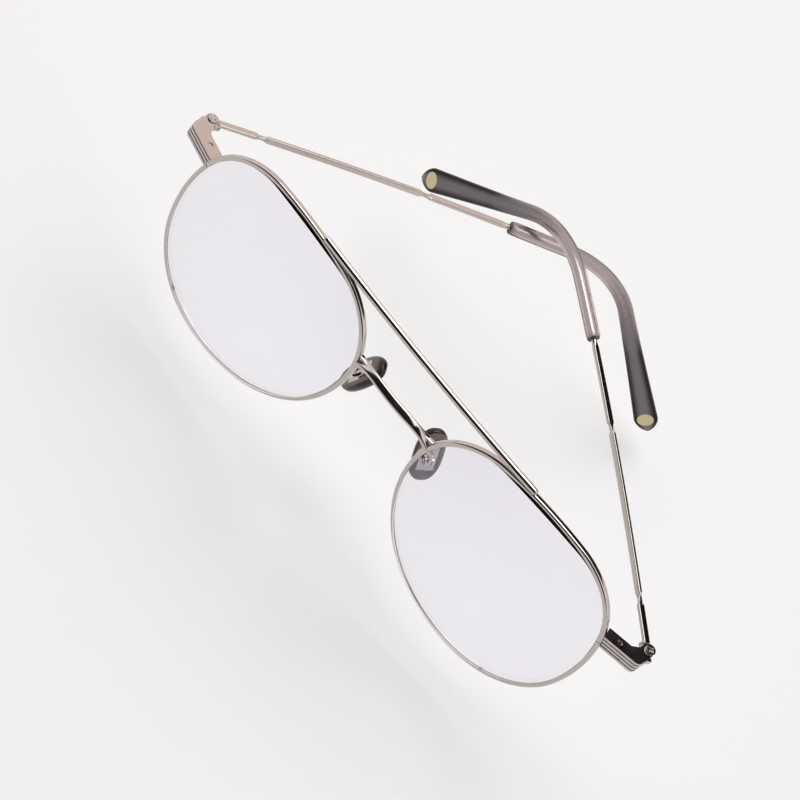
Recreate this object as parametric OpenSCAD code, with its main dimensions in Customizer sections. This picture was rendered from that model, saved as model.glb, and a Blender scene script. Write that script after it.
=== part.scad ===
// Round metal eyeglasses with a double bridge, each piece a separate solid, in millimetres.
// +X points to the wearer's left, -Y to the front and +Z up.
// The origin is the point midway between the two nose pads.

/* [Lenses] */
// Width of each lens shape, across the middle of its rim
lens_w = 51; // [48:0.5:54]
// Radius of the upper outer corner, on a 51 mm pattern
outer_corner_r = 17.2; // [16.4:0.1:18]
// Radius of the flattened brow line, on a 51 mm pattern
brow_r = 100; // [80:1:130]
// Radius of the upper inner corner, on a 51 mm pattern
inner_corner_r = 16; // [15.2:0.1:16.8]
// Radius of the outer side below the end piece, on a 51 mm pattern
outer_side_r = 36.9; // [34:0.1:40]
// Radius of the curved front surface of a lens
lens_curve_r = 131; // [115:1:180]
// Thickness of a lens
lens_t = 1.8; // [1.6:0.1:2.2]

/* [Rims] */
// Thickness of the rim wire, seen from the front
rim_t = 1; // [0.9:0.05:1.2]
// Depth of the rim wire, front to back
rim_d = 1.5; // [1.4:0.1:1.9]
// Depth of the groove that holds the lens
groove_d = 0.35; // [0.25:0.05:0.4]
// Angle by which each rim is turned to follow the face
wrap = 5.1; // [3:0.1:7]
// Distance between the middles of the two rims at the nose
rim_gap = 21; // [19:0.5:23]
// Width of the saw cut that lets a rim open for its lens
rim_cut = 0.12; // [0.08:0.02:0.2]

/* [Brow bar and bridge] */
// Diameter of the brow bar
bar_d = 1.5; // [1.2:0.1:1.8]
// Distance from the middle to each end of the brow bar
bar_half = 31.5; // [29:0.5:34]
// How far the middle of the brow bar bows forward
bar_bow = 0.8; // [0.4:0.1:1.4]
// How far the brow bar is set in front of the middle of the rims
bar_forward = 0.6; // [0:0.1:0.7]
// Width of the bridge, front to back
bridge_w = 1.6; // [1.4:0.1:2]
// Thickness of the bridge
bridge_t = 1.1; // [1:0.1:1.4]
// Height of the front legs of the bridge above the lens centre line
bridge_z = 9.6; // [9:0.2:10.4]
// How far the bridge rises above its front legs
bridge_rise = 3.1; // [2.4:0.1:3.4]
// How far the middle of the bridge stands in front of its ends
bridge_bow = 1.5; // [1:0.1:2.2]

/* [End pieces and hinges] */
// Distance from the outer side of a rim to the hinge axis
end_reach = 6.4; // [6.2:0.1:7.6]
// Distance from the rim plane back to the hinge axis
hinge_back = 6.8; // [6.6:0.1:8.4]
// Height of the hinge above the lens centre line
hinge_z = 9.1; // [8.4:0.1:9.6]
// Height of an end piece
end_h = 3.2; // [3:0.1:3.8]
// Width of the strip that an end piece is bent from
end_w = 2.8; // [2.6:0.1:3.2]
// Angle by which the front leg of an end piece slopes back
end_slope = 14.7; // [12:0.1:18]
// Height of each groove between the ribs of an end piece
rib_gap = 0.3; // [0.2:0.05:0.4]
// Depth of those grooves
rib_depth = 0.35; // [0.2:0.05:0.5]
// Diameter of the hinge screws and of the screws that close the rims
screw_d = 1.2; // [1:0.1:1.3]
// Thickness of the temple tongue between the hinge lugs
tongue_t = 1.2; // [1:0.05:1.3]
// Lean of both hinge axes to the back, so that the open temples slope down
hinge_lean = 3.8; // [2:0.5:6]
// Outward lean of the left hinge axis, so that this temple folds above the other
left_cant = 8.2; // [5:0.1:9]
// Outward lean of the right hinge axis
right_cant = 1.9; // [1:0.1:2.6]
// How far the left temple is folded
left_fold = 57.5; // [50:0.1:58]
// How far the right temple is folded
right_fold = 47.6; // [46:0.1:50]

/* [Temples] */
// Width of the flat strip that a temple bar is made of
temple_w = 1.5; // [1.4:0.1:1.8]
// Thickness of that strip
temple_t = 0.8; // [0.7:0.05:1]
// Height of the bar above the middle of its hinge tongue
bar_lift = 0.8; // [0.5:0.05:0.9]
// Distance from the hinge axis to the first crimp, where the strip turns on edge
notch_1 = 11.2; // [9:0.1:14]
// Distance from the hinge axis to the second crimp, where it turns flat again
notch_2 = 48.4; // [40:0.1:52]
// Diameter of the wire that runs on inside the plastic tip
core_d = 1.2; // [1:0.1:1.4]
// Distance from the hinge axis to the mouth of the plastic tip
tip_from = 68.2; // [64:0.1:74]
// Distance from the hinge axis to the bend over the ear
ear_bend = 94; // [92:0.1:100]
// Length of the tip beyond the bend
ear_drop = 48.8; // [42:0.1:52]
// Angle of the bend
ear_angle = 51.5; // [46:0.1:54]
// Radius of the bend
ear_r = 25.3; // [18:0.5:27]
// How far the temple bows outward along its length
temple_bow = 1.9; // [1:0.1:2.4]
// How far the end of the tip curves in behind the ear
tip_in = 1.4; // [1:0.1:4]
// Width of the paddle at the end of a tip
paddle_w = 5.2; // [4.6:0.1:6]

/* [Nose pads] */
// Distance from the middle plane to the centre of a pad
pad_x = 10.2; // [9.8:0.1:11]
// Distance from the rim plane back to the pads
pad_back = 7; // [6.5:0.1:8.5]
// Length of a pad
pad_l = 12.9; // [12:0.1:14]
// Width of a pad
pad_w = 6.6; // [6.2:0.1:7.4]
// Thickness of a pad
pad_t = 2.2; // [2:0.1:2.6]
// Angle by which the tops of the pads lean together
pad_lean = 19.3; // [15:0.1:22]
// Angle by which the pads open towards the face
pad_splay = 40.5; // [35:0.5:44]
// Width of a pad arm
pad_arm_w = 0.8; // [0.7:0.05:0.9]
// Diameter of the screw through a pad box
pad_screw_d = 0.7; // [0.6:0.05:0.8]

/* [Hidden] */
$fn = 96;

// Clearances
seat = 0.02;
run = 0.05;
lens_fit = 0.05;

// Directions of the outline's normals at which one arc ends and the next begins:
// outer corner, brow, inner corner, nose side, lower outer side, upper outer side
arc_from = [12.1, 83, 95, 176, 277, 344];
ARCS = len(arc_from);
function dir(a) = [cos(a), sin(a)];
function arc_span(i) = (i < ARCS - 1 ? arc_from[i + 1] : arc_from[0] + 360) - arc_from[i];

// The two lower radii follow from the other four, because the outline has to close
close_1 = dir(arc_from[4]) - dir(arc_from[3]);
close_2 = dir(arc_from[5]) - dir(arc_from[4]);
close_sum = -((outer_corner_r - brow_r) * dir(arc_from[1]) + (brow_r - inner_corner_r) * dir(arc_from[2])
    + inner_corner_r * dir(arc_from[3]) - outer_side_r * dir(arc_from[5])
    + (outer_side_r - outer_corner_r) * dir(arc_from[0]));
function cross2(a, b) = a[0] * b[1] - a[1] * b[0];
nose_side_r = cross2(close_sum, close_2) / cross2(close_1, close_2);
lower_side_r = cross2(close_1, close_sum) / cross2(close_1, close_2);
pattern_r = [outer_corner_r, brow_r, inner_corner_r, nose_side_r, lower_side_r, outer_side_r];
function pattern_c(i) = i == 0 ? [0, 0]
    : pattern_c(i - 1) + (pattern_r[i - 1] - pattern_r[i]) * dir(arc_from[i]);

// The pattern is scaled to the lens width and centred on its own box
pattern_right = pattern_c(5)[0] + pattern_r[5];
pattern_left = pattern_c(3)[0] - pattern_r[3];
pattern_top = pattern_c(1)[1] + pattern_r[1];
pattern_bottom = pattern_c(3)[1] - pattern_r[3];
pattern_scale = lens_w / (pattern_right - pattern_left);
pattern_mid = [pattern_right + pattern_left, pattern_top + pattern_bottom] / 2;
arc_r = pattern_scale * pattern_r;
arc_c = [for (i = [0:ARCS - 1]) pattern_scale * (pattern_c(i) - pattern_mid)];
lens_h = pattern_scale * (pattern_top - pattern_bottom);
function outline(i, a, out) = arc_c[i] + (arc_r[i] + out) * dir(a);
// The outline as points, for the lens edge
edge_steps = 12;
function outline_points(out) = [for (i = [0:ARCS - 1]) for (k = [0:edge_steps - 1])
    outline(i, arc_from[i] + arc_span(i) * k / edge_steps, out)];
// Neighbouring arcs share this small angle, so that they join into one piece
arc_lap = 0.01;

// Lens form
lens_inset = rim_t / 2 + lens_fit;
edge_r = [for (p = outline_points(-lens_inset)) norm(p)];
function sag(r) = lens_curve_r - sqrt(pow(lens_curve_r, 2) - r * r);
lens_rise = (sag(max(edge_r)) + sag(min(edge_r)) + lens_t) / 2;
ridge_h = groove_d - lens_fit;
ridge_w = 0.6;
ridge_root = 0.3;
groove_w = ridge_w + 2 * lens_fit;

// Places on the front, in the plane of the lens centres
eye_x = rim_gap / 2 + lens_w / 2 * cos(wrap);
rim_out_x = rim_gap / 2 + lens_w * cos(wrap);
rim_out_y = lens_w / 2 * sin(wrap);
hinge_x = rim_out_x + end_reach;
hinge_y = rim_out_y + hinge_back;

// End piece
leg_set_back = 1.37;
corner_y = rim_out_y + leg_set_back + end_reach * tan(end_slope);
leg_l = (end_reach + rim_t + 0.1) / cos(end_slope);
half_w = end_w / 2;
ribs = 4;
rib_h = (end_h - (ribs - 1) * rib_gap) / ribs;
split_z = -rib_gap / 2;
lock_from = 2.4;
lock_at = 4.55;
lug_gap = tongue_t / 2 + run;
slot_reach = 2.3;
hinge_head_d = 2.3;
hinge_head_h = 0.5;
lock_head_d = 2;
lock_head_h = 0.55;

// Temple
bar_from = half_w + 0.35;
web_l = 0.5;
notch_l = 2.6;
notch_r = 0.45;
notch_flat = 0.8;
tail_l = 1.95;
tail_w = 1.2;
bend_from = ear_bend - ear_r * tan(ear_angle / 2);
bend_l = ear_r * ear_angle * PI / 180;
tip_to = ear_bend + ear_drop - 2 * ear_r * tan(ear_angle / 2) + bend_l;
core_to = tip_to - 11;
inlay_at = tip_to - 4.2;
inlay_r = 1.8;
inlay_t = 0.35;
core_steps = 18;
tip_steps = 30;

// Pad
insert_t = 0.6;
insert_w = 3.6;
insert_l = 6.4;
cheek_t = 0.5;
eye_r = 0.7;
pivot_x = pad_t / 2 + 0.05 + eye_r + 0.1;
pad_rings = 16;

// General helpers
function unit(v) = v / norm(v);
function mix(a, b, t) = a + (b - a) * t;
function turn_y(a, p) = [p[0] * cos(a) + p[2] * sin(a), p[1], p[2] * cos(a) - p[0] * sin(a)];
function turn_z(a, p) = [p[0] * cos(a) - p[1] * sin(a), p[0] * sin(a) + p[1] * cos(a), p[2]];
function bezier(p, t) = pow(1 - t, 3) * p[0] + 3 * t * pow(1 - t, 2) * p[1]
    + 3 * t * t * (1 - t) * p[2] + pow(t, 3) * p[3];

// A rounded rectangle of half sizes hx and hz with corners of radius c, as 16 points
function section(hx, hz, c) = [for (k = [0:3]) for (j = [0:3])
    let (a = 90 * k + 30 * j, sx = (k == 0 || k == 3) ? 1 : -1, sz = k < 2 ? 1 : -1)
    [sx * (hx - c) + c * cos(a), sz * (hz - c) + c * sin(a)]];
SIDES = 16;

// A section stood across a path at point p with direction t
function ring(p, t, up, pts) = let (s = unit(cross(t, up)), u = cross(s, t))
    [for (q = pts) p + q[0] * s + q[1] * u];

// Triangles between two neighbouring rings, seen from outside
function band(a, b) = [for (j = [0:SIDES - 1]) let (k = (j + 1) % SIDES)
    each [[a + j, a + k, b + k], [a + j, b + k, b + j]]];

// A solid through a list of rings
module loft(rings) {
    n = len(rings);
    points = [for (r = rings) each r];
    faces = concat(
        [for (i = [0:n - 2]) each band(i * SIDES, (i + 1) * SIDES)],
        [[for (j = [SIDES - 1:-1:0]) j]],
        [[for (j = [0:SIDES - 1]) (n - 1) * SIDES + j]]);
    polyhedron(points, faces, convexity = 6);
}

// A sleeve: the first list of rings is its outside, the second its blind bore
module sleeve(outer, bore) {
    n = len(outer);
    m = len(bore);
    first = n * SIDES;
    last = (n + m - 1) * SIDES;
    points = concat([for (r = outer) each r], [for (r = bore) each r]);
    faces = concat(
        [for (i = [0:n - 2]) each band(i * SIDES, (i + 1) * SIDES)],
        [[for (j = [0:SIDES - 1]) (n - 1) * SIDES + j]],
        [for (i = [0:m - 2]) each band(first + (i + 1) * SIDES, first + i * SIDES)],
        [[for (j = [SIDES - 1:-1:0]) last + j]],
        band(first, 0));
    polyhedron(points, faces, convexity = 6);
}

// Pieces are drawn for the wearer's left and mirrored for the right
module side(s) mirror([s < 0 ? 1 : 0, 0, 0]) children();

// Moves the plane of the lens centres so that the origin lies between the pads
module from_pads() translate([0, -pad_back, 0]) children();

// The plane of a rim: local X outward, Y up and Z to the front
module eye_plane() translate([eye_x, 0, 0]) rotate([90, 0, wrap]) children();

// A profile carried round the arcs of the outline: its X is outward, its Y to the front
module round_outline(arcs = [0:ARCS - 1])
    for (i = arcs)
        translate(arc_c[i]) rotate(arc_from[i] - arc_lap)
            rotate_extrude(angle = arc_span(i) + 2 * arc_lap) translate([arc_r[i], 0]) children();

// The space that a rim takes, with the seat clearance, for pieces soldered to it
module rim_space(arcs, back)
    eye_plane() round_outline(arcs) polygon([
        [-4, rim_d + 2], [rim_t / 2 + seat, rim_d + 2], [rim_t / 2 + seat, -rim_d / 2 - seat],
        [-rim_t / 2, -rim_d / 2 - seat], [-rim_t / 2, -back], [-4, -back]]);

module rim(s) {
    chamfer = 0.2;
    color("silver") side(s) eye_plane() difference() {
        round_outline() polygon([
            [-rim_t / 2, -rim_d / 2], [rim_t / 2 - chamfer, -rim_d / 2],
            [rim_t / 2, chamfer - rim_d / 2], [rim_t / 2, rim_d / 2 - chamfer],
            [rim_t / 2 - chamfer, rim_d / 2], [-rim_t / 2, rim_d / 2],
            [-rim_t / 2, groove_w / 2], [groove_d - rim_t / 2, groove_w / 2],
            [groove_d - rim_t / 2, -groove_w / 2], [-rim_t / 2, -groove_w / 2]]);
        translate([lens_w / 2 - 3, hinge_z + split_z - rim_cut, -rim_d])
            cube([6, rim_cut, 2 * rim_d]);
    }
}

// A lens is a curved shell cut to the outline, with a ridge round its edge that sits in the groove
module lens(s) {
    color("lavender", 0.4) side(s) eye_plane() {
        intersection() {
            linear_extrude(6 * lens_t, center = true) polygon(outline_points(-lens_inset));
            translate([0, 0, lens_rise - lens_curve_r]) rotate_extrude() intersection() {
                difference() {
                    circle(lens_curve_r, $fn = 360);
                    circle(lens_curve_r - lens_t, $fn = 360);
                }
                translate([0, lens_curve_r - lens_w / 4]) square([lens_w * 0.7, lens_w / 2]);
            }
        }
        linear_extrude(ridge_w, center = true) difference() {
            polygon(outline_points(ridge_h - rim_t / 2));
            polygon(outline_points(-lens_inset - ridge_root));
        }
    }
}

// The brow bar lies along the flattened tops of both rims
module brow_bar() {
    bar_r = (bar_half * bar_half + bar_bow * bar_bow) / (2 * bar_bow);
    bar_angle = asin(bar_half / bar_r);
    bar_z = lens_h / 2 + rim_t / 2 + bar_d / 2 + seat;
    bar_y = (bar_half - eye_x) * tan(wrap) - bar_forward;
    color("silver") translate([0, bar_y - bar_bow + bar_r, bar_z]) {
        rotate([0, 0, -90 - bar_angle])
            rotate_extrude(angle = 2 * bar_angle) translate([bar_r, 0]) circle(d = bar_d);
        for (a = [-1, 1])
            rotate([0, 0, -90 + a * bar_angle]) translate([bar_r, 0, 0]) sphere(d = bar_d);
    }
}

// The bridge is a flat arch with a forked end at each rim: a front leg and a flat brace above it
module bridge() {
    steps = 24;
    span = rim_gap / 2 + 0.9;
    end_y = -lens_w / 2 * sin(wrap);
    brace_from = 0.4;
    brace_w = 1.1;
    brace_t = 0.5;
    brace_z = 12.2;
    function at(t) = [span * t, end_y - bridge_bow * (1 - t * t),
        bridge_z + bridge_rise * (1 - pow(abs(t), 5))];
    route = [at(brace_from) + [0, (bridge_w - brace_w) / 2, (bridge_t - brace_t) / 2],
        at(2 * brace_from) + [0, bridge_w / 2, bridge_t / 2],
        [rim_gap / 2 - 0.8, end_y + 0.3, brace_z - 0.2], [rim_gap / 2 + 2.2, end_y + 0.2, brace_z + 0.4]];
    color("silver") difference() {
        union() {
            loft([for (i = [0:steps])
                let (t = 2 * i / steps - 1, d = unit(at(min(t + 0.01, 1)) - at(max(t - 0.01, -1))))
                ring(at(t), d, [0, 0, 1], section(
                    mix(bridge_w, bridge_w - 0.5, pow(abs(t), 3)) / 2, bridge_t / 2, 0.3))]);
            for (s = [-1, 1])
                side(s) loft([for (i = [0:steps / 2])
                    let (t = 2 * i / steps,
                        d = unit(bezier(route, min(1, t + 0.01)) - bezier(route, max(0, t - 0.01))))
                    ring(bezier(route, t), d, [0, 0, 1], section(brace_w / 2, brace_t / 2, 0.12))]);
        }
        for (s = [-1, 1])
            side(s) eye_plane() round_outline([2:3]) translate([-4, -4])
                square([4 + rim_t / 2 + seat, 8]);
    }
}

// Plan of the bent strip: out and inn are the distances of its faces from its middle line.
// Its origin is the centre of the outer front corner; its leg leads to the rim, its arm back.
module strip_plan(out, inn) {
    arm_l = hinge_y - corner_y;
    web = 1.2;
    inner_t = inn * (1 - sin(end_slope)) / cos(end_slope);
    circle(out);
    translate([0, arm_l]) circle(half_w);
    translate([-inn, 0]) square([inn + out, arm_l]);
    rotate(end_slope) translate([-leg_l, -out]) square([leg_l, out + inn]);
    polygon([[-inn, inner_t],
        [-inn, inner_t + web],
        [-inn * sin(end_slope) - (inner_t + web) * cos(end_slope),
            inn * cos(end_slope) - (inner_t + web) * sin(end_slope)]]);
}

module at_corner() translate([hinge_x, corner_y, hinge_z]) children();
module at_lock() at_corner() rotate(end_slope) translate([-lock_at, 0, 0]) children();

// The hinge axis: local Z along the axis, Y along the open temple and X outward
module at_hinge(s) translate([hinge_x, hinge_y, hinge_z])
    rotate([-hinge_lean, s > 0 ? left_cant : right_cant, 0]) children();

module ribbed_strip() {
    translate([0, 0, -end_h / 2]) {
        linear_extrude(end_h) strip_plan(half_w - rib_depth, half_w);
        for (i = [0:ribs - 1])
            translate([0, 0, i * (rib_h + rib_gap)]) linear_extrude(rib_h) strip_plan(half_w, half_w);
    }
}

// The part of the strip that the lock block takes, grown or shrunk by a margin
module lock_space(margin)
    rotate(end_slope) translate([-leg_l - 1, -end_w, -end_h])
        cube([leg_l + 1 - lock_from + margin, 2 * end_w, end_h + split_z + margin]);

module end_piece(s) {
    color("silver") side(s) difference() {
        at_corner() difference() {
            ribbed_strip();
            lock_space(seat);
        }
        rim_space([5, 0], end_w + 2);
        at_hinge(s) {
            translate([-end_w, -slot_reach, -lug_gap]) cube([2 * end_w, 2 * slot_reach, 2 * lug_gap]);
            cylinder(h = 2 * end_h, d = screw_d + 2 * run, center = true);
            translate([0, 0, end_h / 2 - 0.2]) cylinder(h = end_h, d = hinge_head_d + 4 * run);
        }
        at_lock() translate([0, 0, -rib_gap]) cylinder(h = end_h, d = screw_d + 2 * seat);
    }
}

module lock_block(s) {
    color("silver") side(s) difference() {
        at_corner() intersection() {
            ribbed_strip();
            lock_space(0);
        }
        rim_space([5, 0], end_w + 2);
        at_lock() {
            translate([0, 0, -end_h]) cylinder(h = end_h, d = screw_d + 2 * run);
            translate([0, 0, -end_h - end_h / 2 + lock_head_h + seat])
                cylinder(h = end_h, d = lock_head_d + 4 * run);
        }
    }
}

module lock_screw(s) {
    color("gainsboro") side(s) at_lock() difference() {
        union() {
            translate([0, 0, -end_h / 2]) cylinder(h = end_h - 0.2, d = screw_d);
            translate([0, 0, -end_h / 2]) cylinder(h = lock_head_h, d = lock_head_d);
        }
        translate([-lock_head_d, -0.15, -end_h / 2 - 0.1]) cube([2 * lock_head_d, 0.3, 0.35]);
    }
}

module hinge_screw(s) {
    head_z = end_h / 2 - 0.2 + seat;
    color("gainsboro") side(s) at_hinge(s) difference() {
        union() {
            translate([0, 0, -end_h / 2]) cylinder(h = end_h / 2 + head_z + 0.1, d = screw_d);
            translate([0, 0, head_z]) cylinder(h = hinge_head_h, d = hinge_head_d);
        }
        for (a = [0, 90])
            rotate(a) translate([-0.8, -0.15, head_z + 0.25]) cube([1.6, 0.3, 1]);
    }
}

// A temple is laid out along +Y from the hinge axis, with X outward and Z up
module at_temple(s) side(s) at_hinge(s) rotate(s > 0 ? left_fold : right_fold) children();

// Path of a temple at distance d along it: straight, round the ear bend, then down
function temple_at(d) =
    let (q = min(max(d - bend_from, 0), bend_l), a = q / ear_r * 180 / PI,
        rest = max(d - bend_from - bend_l, 0), along = min(d, bend_from),
        bow = temple_bow * sin(min(180, 150 * d / ear_bend)),
        curl = tip_in * pow(max(d - bend_from, 0) / (tip_to - bend_from), 2))
    [bow - curl, along + ear_r * sin(a) + rest * cos(a),
        bar_lift - ear_r * (1 - cos(a)) - rest * sin(a)];
function temple_dir(d) = unit(temple_at(d + 0.1) - temple_at(d - 0.1));
function temple_ring(d, pts) = ring(temple_at(d), temple_dir(d), [0, 0, 1], pts);
function core_rings(r) = [for (i = [0:core_steps])
    temple_ring(mix(tip_from, core_to, i / core_steps), section(r, r, 0.98 * r))];

// The strip lies flat at both ends of the bar and stands on edge between its two crimps
module temple(s) {
    flat = [temple_w / 2, temple_t / 2, 0.15];
    edge = [temple_t / 2, temple_w / 2, 0.15];
    neck = [notch_r, notch_r, 0.1];
    wire = [core_d / 2, core_d / 2, 0.49 * core_d];
    stations = [
        [bar_from, flat], [notch_1 - notch_l / 2, flat],
        [notch_1 - notch_flat / 2, neck], [notch_1 + notch_flat / 2, neck],
        [notch_1 + notch_l / 2, edge], [mix(notch_1, notch_2, 0.25), edge],
        [mix(notch_1, notch_2, 0.5), edge], [mix(notch_1, notch_2, 0.75), edge],
        [notch_2 - notch_l / 2, edge],
        [notch_2 - notch_flat / 2, neck], [notch_2 + notch_flat / 2, neck],
        [notch_2 + notch_l / 2, flat], [mix(notch_2, tip_from, 0.6), flat],
        [tip_from - 3, flat], [tip_from - 0.8, wire]];
    color("silver") at_temple(s) {
        loft(concat(
            [for (q = stations) temple_ring(q[0], section(q[1][0], q[1][1], q[1][2]))],
            core_rings(core_d / 2)));
        difference() {
            union() {
                cylinder(h = tongue_t, d = end_w - 0.1, center = true);
                translate([-temple_w / 2, 0, -tongue_t / 2]) cube([temple_w, bar_from + web_l, tongue_t]);
                translate([-temple_w / 2, bar_from, 0]) cube([temple_w, web_l, bar_lift]);
                translate([-tail_w / 3, -tail_l, -tongue_t / 2]) cube([tail_w, tail_l, tongue_t]);
            }
            cylinder(h = 2 * tongue_t, d = screw_d + 2 * run, center = true);
        }
    }
}

// Half thickness, half height and corner radius of a tip, where t runs from its mouth to its end
function tip_size(t) =
    let (close = t < 0.95 ? 1 : sqrt(max(0.02, 1 - pow((t - 0.95) / 0.05, 2))),
        swell = pow(max(0, (t - 0.3) / 0.65), 1.5),
        mouth = t < 0.015 ? 0.85 : 1)
    [mouth * mix(1.2, 1.05, t) * (0.5 + 0.5 * close),
        mouth * min(paddle_w / 2, mix(1.45, paddle_w / 2, swell)) * close, 0];

module temple_tip(s) {
    color("dimgray", 0.8) at_temple(s) difference() {
        sleeve([for (i = [0:tip_steps])
                let (t = i == 1 ? 0.015 : sin(90 * i / tip_steps), q = tip_size(t))
                temple_ring(mix(tip_from, tip_to, t), section(q[0], q[1], 0.85 * min(q[0], q[1])))],
            core_rings(core_d / 2 + run));
        at_inlay(0) cylinder(h = 2, r = inlay_r + seat);
    }
}

// The inlay lies in the inner face of the tip, sunk by its own thickness less a margin
module at_inlay(margin) {
    t = temple_dir(inlay_at);
    q = tip_size((inlay_at - tip_from) / (tip_to - tip_from));
    translate(temple_at(inlay_at)) rotate([asin(t[2]), 0, atan2(-t[0], t[1])])
        translate([inlay_t + margin - q[0], 0, 0]) rotate([0, -90, 0]) children();
}

module tip_inlay(s)
    color("tan") at_temple(s) at_inlay(-seat) cylinder(h = inlay_t, r = inlay_r);

// A pad: local X faces the box side, Y across the pad and Z along it
module at_pad(s) side(s) translate([pad_x, pad_back, 0])
    rotate([0, -pad_lean, 0]) rotate([0, 0, -pad_splay]) children();
function pad_point(p) = [pad_x, pad_back, 0] + turn_y(-pad_lean, turn_z(-pad_splay, p));

module nose_pad(s) {
    color("slategray", 0.8) at_pad(s) difference() {
        loft([for (i = [0:pad_rings])
            let (t = -cos(180 * i / pad_rings), w = pow(max(0.002, 1 - pow(abs(t), 2.4)), 1 / 2.4),
                h = pow(max(0.002, 1 - pow(abs(t), 4)), 0.25) * pad_t / 2)
            ring([0, 0, t * pad_l / 2], [0, 0, 1], [0, 1, 0],
                section(h, w * pad_w / 2, 0.9 * min(h, w * pad_w / 2)))]);
        translate([pad_t / 2 - insert_t + 0.05, -insert_w / 2, -insert_l / 2])
            cube([2, insert_w, insert_l]);
    }
}

module pad_insert(s) {
    plate_x = pad_t / 2 - insert_t + 0.05 + seat;
    gap = pad_arm_w / 2 + run;
    color("silver") at_pad(s) difference() {
        union() {
            translate([plate_x, seat - insert_w / 2, seat - insert_l / 2])
                cube([insert_t - seat, insert_w - 2 * seat, insert_l - 2 * seat]);
            for (y = [-gap - cheek_t, gap]) {
                translate([plate_x, y, -eye_r - 0.2]) cube([pivot_x - plate_x, cheek_t, 2 * eye_r + 0.4]);
                translate([pivot_x, y, 0]) rotate([-90, 0, 0]) cylinder(h = cheek_t, r = eye_r + 0.2);
            }
        }
        translate([pivot_x, 0, 0]) rotate([90, 0, 0])
            cylinder(h = insert_w, d = pad_screw_d + 2 * seat, center = true);
    }
}

module pad_screw(s) {
    l = pad_arm_w + 2 * (run + cheek_t);
    color("gainsboro") at_pad(s) translate([pivot_x, 0, 0]) rotate([-90, 0, 0]) difference() {
        union() {
            cylinder(h = l, d = pad_screw_d, center = true);
            translate([0, 0, -l / 2 - 0.3]) cylinder(h = 0.3 - seat, d = 1.7 * pad_screw_d);
            translate([0, 0, -l / 2 - 0.1]) cylinder(h = 0.2, d = pad_screw_d);
        }
        translate([-pad_screw_d, -0.08, -l / 2 - 0.4]) cube([2 * pad_screw_d, 0.16, 0.22]);
    }
}

// The arm starts on the back of the rim, runs back beside the nose and turns down into the pad box
module pad_arm(s) {
    steps = 16;
    start_a = 182;
    arm_in = 1.6;
    eye_back = [-sin(wrap), cos(wrap), 0];
    nose_edge = outline(3, start_a, 0);
    root = [eye_x + nose_edge[0] * cos(wrap), nose_edge[0] * sin(wrap), nose_edge[1]]
        + (rim_d / 2 + seat) * eye_back;
    out = pad_point([1, 0, 0]) - pad_point([0, 0, 0]);
    eye = pad_point([pivot_x, 0, 0]);
    up = pad_point([0, 0, 1]) - pad_point([0, 0, 0]);
    route = [root, root + 5.5 * eye_back - [arm_in, 0, 0], eye + 1.6 * out + 3.2 * up,
        eye + 0.4 * out + 0.3 * up];
    color("silver") side(s) {
        loft([for (i = [0:steps])
            let (t = i / steps, d = i == 0 ? eye_back
                : unit(bezier(route, min(1, t + 0.01)) - bezier(route, t - 0.01)))
            ring(bezier(route, t), d, out, section(pad_arm_w / 2, 0.45, 0.2))]);
    }
    color("silver") at_pad(s) translate([pivot_x, 0, 0]) rotate([90, 0, 0]) difference() {
        cylinder(h = pad_arm_w, r = eye_r, center = true);
        cylinder(h = 2 * pad_arm_w, d = pad_screw_d + 2 * run, center = true);
    }
}

from_pads() rim(-1);  // right_rim
from_pads() rim(1);  // left_rim
from_pads() lens(-1);  // right_lens
from_pads() lens(1);  // left_lens
from_pads() brow_bar();
from_pads() bridge();
from_pads() end_piece(-1);  // right_end_piece
from_pads() end_piece(1);  // left_end_piece
from_pads() lock_block(-1);  // right_lock_block
from_pads() lock_block(1);  // left_lock_block
from_pads() lock_screw(-1);  // right_lock_screw
from_pads() lock_screw(1);  // left_lock_screw
from_pads() hinge_screw(-1);  // right_hinge_screw
from_pads() hinge_screw(1);  // left_hinge_screw
from_pads() temple(-1);  // right_temple
from_pads() temple(1);  // left_temple
from_pads() temple_tip(-1);  // right_temple_tip
from_pads() temple_tip(1);  // left_temple_tip
from_pads() tip_inlay(-1);  // right_tip_inlay
from_pads() tip_inlay(1);  // left_tip_inlay
from_pads() pad_arm(-1);  // right_pad_arm
from_pads() pad_arm(1);  // left_pad_arm
from_pads() nose_pad(-1);  // right_nose_pad
from_pads() nose_pad(1);  // left_nose_pad
from_pads() pad_insert(-1);  // right_pad_insert
from_pads() pad_insert(1);  // left_pad_insert
from_pads() pad_screw(-1);  // right_pad_screw
from_pads() pad_screw(1);  // left_pad_screw
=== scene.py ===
"""Round wire eyeglasses with a brow bar, dressed around their CAD solids.

Lengths are in metres. +X points to the wearer's left, -Y to the front and +Z up.
Side pieces are worked out for the wearer's left and mirrored for the right.
"""

import math

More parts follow.
